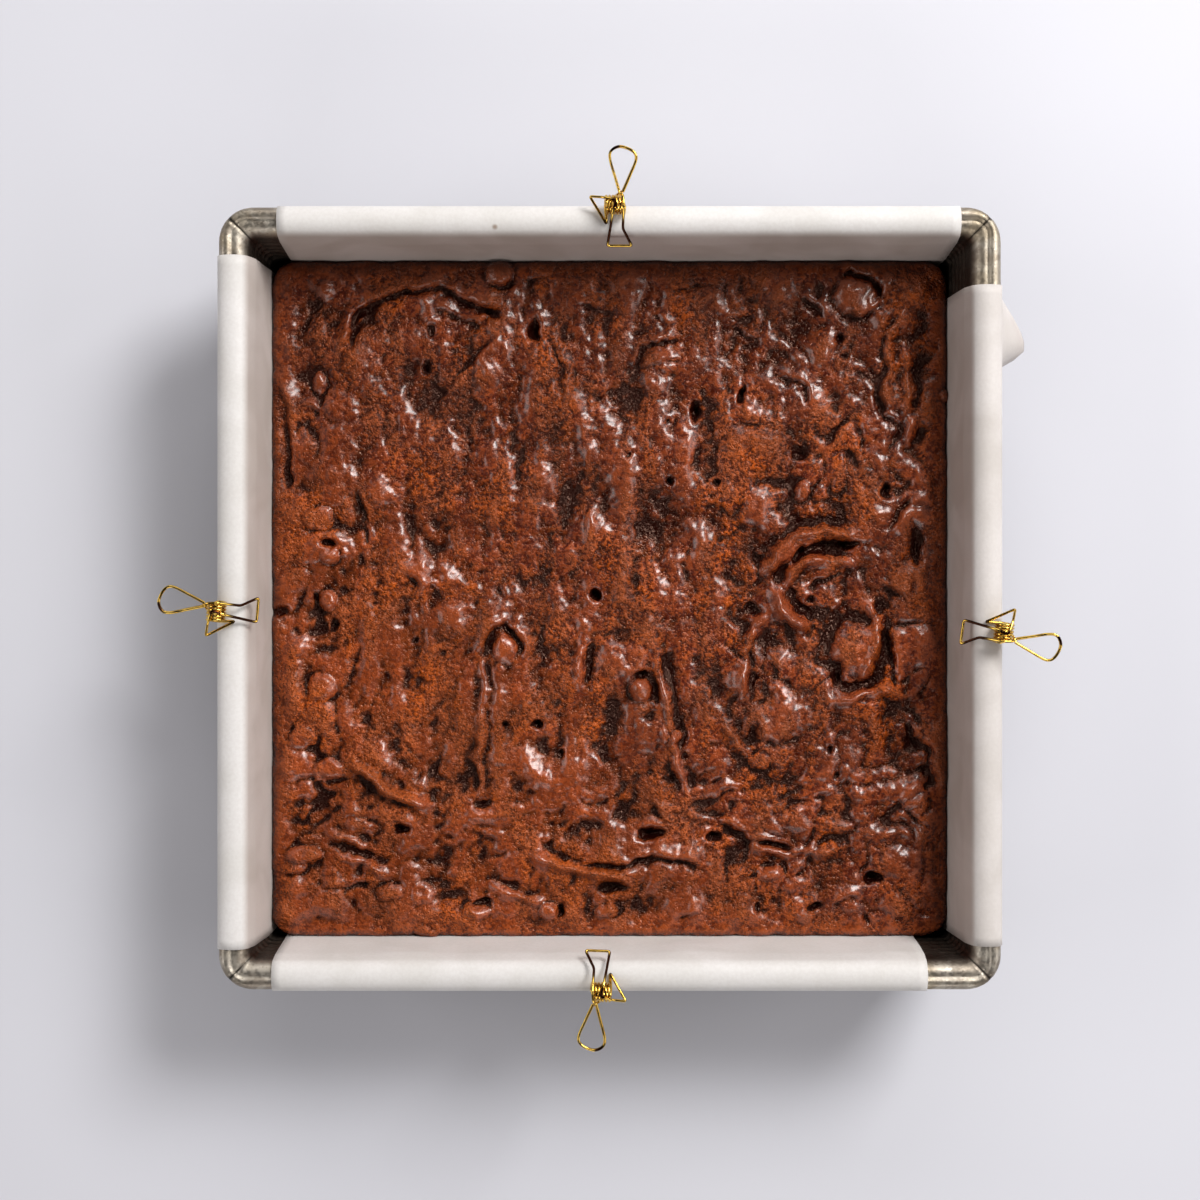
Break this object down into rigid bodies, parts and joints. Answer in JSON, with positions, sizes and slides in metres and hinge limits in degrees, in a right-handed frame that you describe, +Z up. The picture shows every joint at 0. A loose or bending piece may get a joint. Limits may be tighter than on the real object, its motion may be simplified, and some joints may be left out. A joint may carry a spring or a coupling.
{
  "type": "chocolate brownie in a baking tin",
  "caption": "Uncut slab of chocolate brownie with a crackled shiny crust, in a square metal baking tin lined with clipped baking paper.",
  "frame": {"origin": "middle of the flat underside of the tin", "axes": "+Z up out of the tin, +Y towards the rim at the top of the picture, +X towards the rim at its right"},
  "size_m": [0.2838, 0.2842, 0.0646],
  "materials": {
    "tin_metal": "worn satin, with dark seams and pressed ribs",
    "brownie_crust": "dark red-brown, crackled, partly glossy",
    "baking_paper": "matte white with a faint sheen and soft creases",
    "gold_wire": "polished gold-coloured wire"
  },
  "bodies": {
    "root": {"tin": "tin_metal", "brownie": "brownie_crust", "liner_along": "baking_paper", "liner_across": "baking_paper", "clip_back": "gold_wire", "clip_left": "gold_wire", "clip_front": "gold_wire", "clip_right": "gold_wire"}
  },
  "joints": []
}
